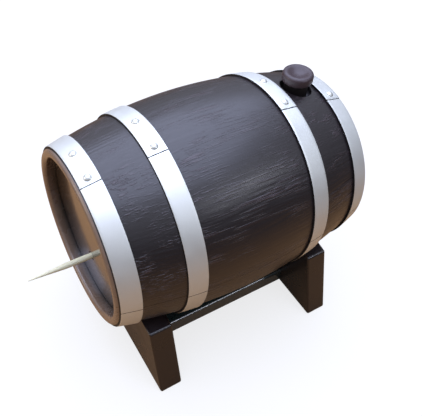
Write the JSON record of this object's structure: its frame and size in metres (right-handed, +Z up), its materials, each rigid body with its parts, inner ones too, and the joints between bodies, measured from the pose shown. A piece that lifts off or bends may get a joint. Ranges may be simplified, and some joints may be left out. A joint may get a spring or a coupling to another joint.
{
  "type": "toothpick holder",
  "caption": "Barrel-shaped toothpick holder on a two-board stand, with a lift-off upper shell and a press knob that slides a pick out of the front head.",
  "frame": {"origin": "on the table, under the middle of the part's whole length and width, with the drawn-out toothpick counted in the length", "axes": "+Z up; the barrel's axis runs along Y, its front head with the pick hole faces -Y and the press knob is at the +Y end; X is across the boards"},
  "size_m": [0.0734, 0.109, 0.0865],
  "materials": {
    "stave_plastic": "moulded wood-grain relief, satin dark brown",
    "head_plastic": "glossy dark brown",
    "hoop_metal": "satin silver band",
    "rivet_metal": "satin silver dome",
    "knob_plastic": "satin brown-violet",
    "inner_plastic": "plain moulded grey",
    "screw_steel": "zinc plated",
    "spring_steel": "bright wire",
    "pick_wood": "plain pale wood",
    "stand_plastic": "satin dark brown",
    "plate_plastic": "glossy black"
  },
  "bodies": {
    "base": {"lower_shell": "stave_plastic", "front_head": "head_plastic", "rear_head": "head_plastic", "front_end_hoop_lower": "hoop_metal", "front_quarter_hoop_lower": "hoop_metal", "rear_quarter_hoop_lower": "hoop_metal", "rear_end_hoop_lower": "hoop_metal", "pick_trough": "inner_plastic", "trough_screws": "screw_steel", "slide_spring": "spring_steel", "slide_keeper": "inner_plastic", "keeper_screws": "screw_steel", "front_board": "stand_plastic", "rear_board": "stand_plastic", "stand_plate": "plate_plastic", "stand_screws": "screw_steel"},
    "lid": {"upper_shell": "stave_plastic", "front_end_hoop_upper": "hoop_metal", "front_quarter_hoop_upper": "hoop_metal", "rear_quarter_hoop_upper": "hoop_metal", "rear_end_hoop_upper": "hoop_metal", "hoop_rivets": "rivet_metal"},
    "knob": {"push_knob": "knob_plastic", "plunger": "inner_plastic"},
    "slide": {"pick_slide": "inner_plastic"},
    "pick": {"toothpick": "pick_wood"}
  },
  "joints": [
    {"name": "lid_lift", "type": "slide", "parent": "base", "child": "lid", "axis": [0, 0, 1], "range_m": [0, 0.08]},
    {"name": "knob_press", "type": "slide", "parent": "lid", "child": "knob", "axis": [0, 0, -1], "range_m": [0, 0.0054], "stiffness_N_per_m": 300, "springref_m": -0.003},
    {"name": "slide_travel", "type": "slide", "parent": "base", "child": "slide", "axis": [0, -1, 0], "range_m": [0, 0.0096], "deforming": ["slide_spring"]},
    {"name": "pick_draw", "type": "slide", "parent": "base", "child": "pick", "axis": [0, -1, 0], "range_m": [-0.014, 0.045]}
  ],
  "couplings": [
    {"joint": "slide_travel", "follows": "knob_press", "ratio": 1.75}
  ]
}
